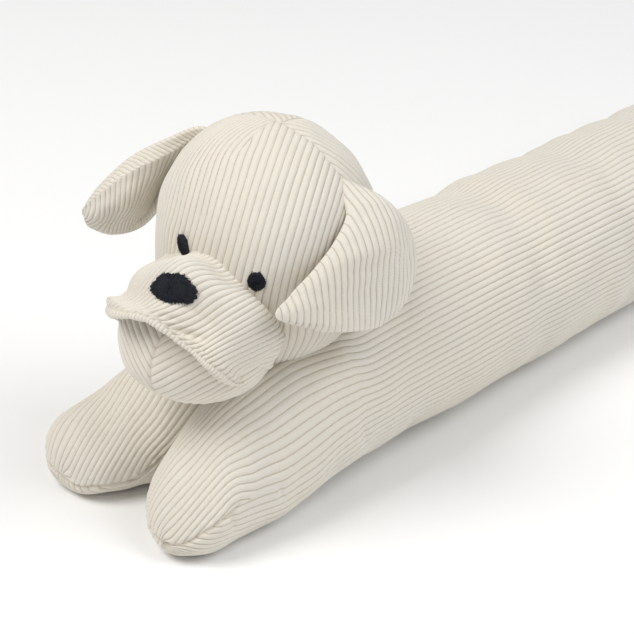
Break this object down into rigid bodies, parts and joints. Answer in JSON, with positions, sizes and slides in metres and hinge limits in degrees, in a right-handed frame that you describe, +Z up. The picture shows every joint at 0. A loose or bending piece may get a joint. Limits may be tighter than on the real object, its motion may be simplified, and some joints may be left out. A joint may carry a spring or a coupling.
{
  "type": "draught excluder",
  "caption": "Long stuffed corduroy tube with a dog's head and front paws, laid along the foot of a door to stop draughts.",
  "frame": {"origin": "on the surface it lies on, under the middle of its box", "axes": "+X along the body from the front paws to the tail end, +Z up, the dog's left side toward -Y"},
  "size_m": [0.906, 0.2198, 0.284],
  "materials": {
    "corduroy": "matte wide-wale corduroy",
    "stitching": "fuzzy black thread"
  },
  "bodies": {
    "root": {"body": "corduroy", "head": "corduroy", "muzzle_upper": "corduroy", "muzzle_lower": "corduroy", "ear_left": "corduroy", "ear_right": "corduroy", "nose": "stitching", "eye_left": "stitching", "eye_right": "stitching"}
  },
  "joints": []
}
